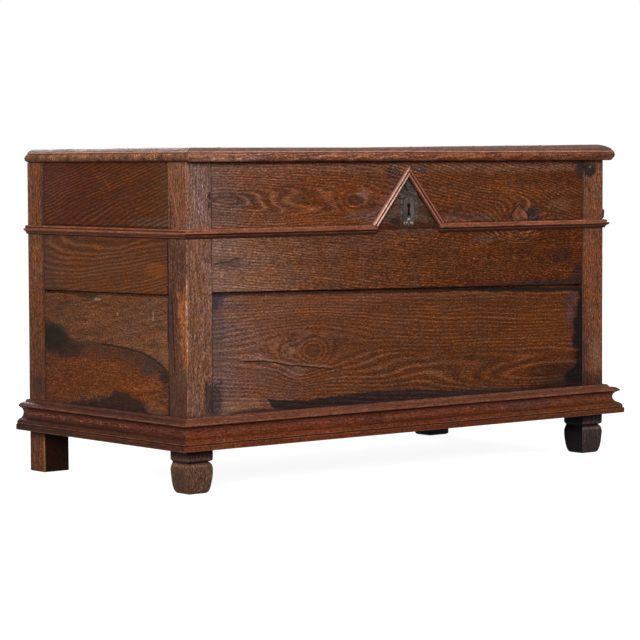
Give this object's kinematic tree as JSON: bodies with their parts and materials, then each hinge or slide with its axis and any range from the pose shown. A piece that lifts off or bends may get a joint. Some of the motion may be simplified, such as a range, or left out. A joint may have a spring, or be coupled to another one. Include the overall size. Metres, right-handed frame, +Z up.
{
  "type": "grain ark chest",
  "caption": "Oak plank chest between corner posts with a hinged moulded lid, moulded base on carved feet, and a raised V moulding round the keyhole.",
  "frame": {"origin": "middle of the footprint, mouldings and hinge barrels included, at floor level", "axes": "+X to the right along the front, +Y from front to back, +Z up"},
  "size_m": [1.59, 0.792, 0.887],
  "materials": {
    "oak_boards": "old waxed oak, dark red-brown, worn",
    "oak_posts": "old waxed oak, dark brown with pale worn edges",
    "oak_base": "old waxed oak, red-brown",
    "oak_waist": "old waxed oak, dark brown with pale worn beads",
    "oak_lid": "old waxed oak, dark brown, dull",
    "oak_inside": "dry unwaxed oak",
    "wrought_iron": "dark forged iron, dull",
    "escutcheon_iron": "worn forged iron, dull",
    "lock_iron": "dark forged iron"
  },
  "bodies": {
    "carcase": {"back_floor_ledger": "oak_inside", "back_leaf_nails": "wrought_iron", "back_lower_board": "oak_boards", "back_middle_board": "oak_boards", "back_upper_board": "oak_boards", "base_moulding_front": "oak_base", "base_moulding_left": "oak_base", "base_moulding_right": "oak_base", "escutcheon_nails": "escutcheon_iron", "floor_board_1": "oak_inside", "floor_board_2": "oak_inside", "floor_board_3": "oak_inside", "floor_board_4": "oak_inside", "floor_board_5": "oak_inside", "floor_board_6": "oak_inside", "floor_nails": "wrought_iron", "front_floor_ledger": "oak_inside", "front_left_post": "oak_posts", "front_lower_board": "oak_boards", "front_middle_board": "oak_boards", "front_right_post": "oak_posts", "front_upper_board": "oak_boards", "keyhole_escutcheon": "escutcheon_iron", "keyhole_v_left_strip": "oak_waist", "keyhole_v_right_strip": "oak_waist", "left_hinge_leaf": "wrought_iron", "left_hinge_pin": "wrought_iron", "left_lower_board": "oak_boards", "left_middle_board": "oak_boards", "left_upper_board": "oak_boards", "lock_bolt_guides": "lock_iron", "lock_case": "lock_iron", "lock_case_rivets": "lock_iron", "lock_key_pin": "lock_iron", "lock_nails": "wrought_iron", "lock_plate": "lock_iron", "lock_spring": "lock_iron", "rear_left_post": "oak_posts", "rear_right_post": "oak_posts", "right_hinge_leaf": "wrought_iron", "right_hinge_pin": "wrought_iron", "right_lower_board": "oak_boards", "right_middle_board": "oak_boards", "right_upper_board": "oak_boards", "waist_moulding_front_left": "oak_waist", "waist_moulding_front_right": "oak_waist", "waist_moulding_left": "oak_waist", "waist_moulding_right": "oak_waist"},
    "lid": {"left_hinge_strap": "wrought_iron", "lid_batten_nails": "wrought_iron", "lid_front_plank": "oak_lid", "lid_left_batten": "oak_inside", "lid_middle_plank": "oak_lid", "lid_rear_plank": "oak_lid", "lid_right_batten": "oak_inside", "lid_staple": "lock_iron", "lid_strap_nails": "wrought_iron", "right_hinge_strap": "wrought_iron", "staple_nails": "lock_iron"},
    "bolt": {"lock_bolt": "lock_iron"}
  },
  "joints": [
    {"name": "lid_hinge", "type": "hinge", "parent": "carcase", "child": "lid", "pos_m": [0, 0.3895, 0.8455], "axis": [-1, 0, 0], "range_deg": [0, 105]},
    {"name": "lock_bolt_slide", "type": "slide", "parent": "carcase", "child": "bolt", "axis": [1, 0, 0], "range_m": [0, 0.012]}
  ]
}
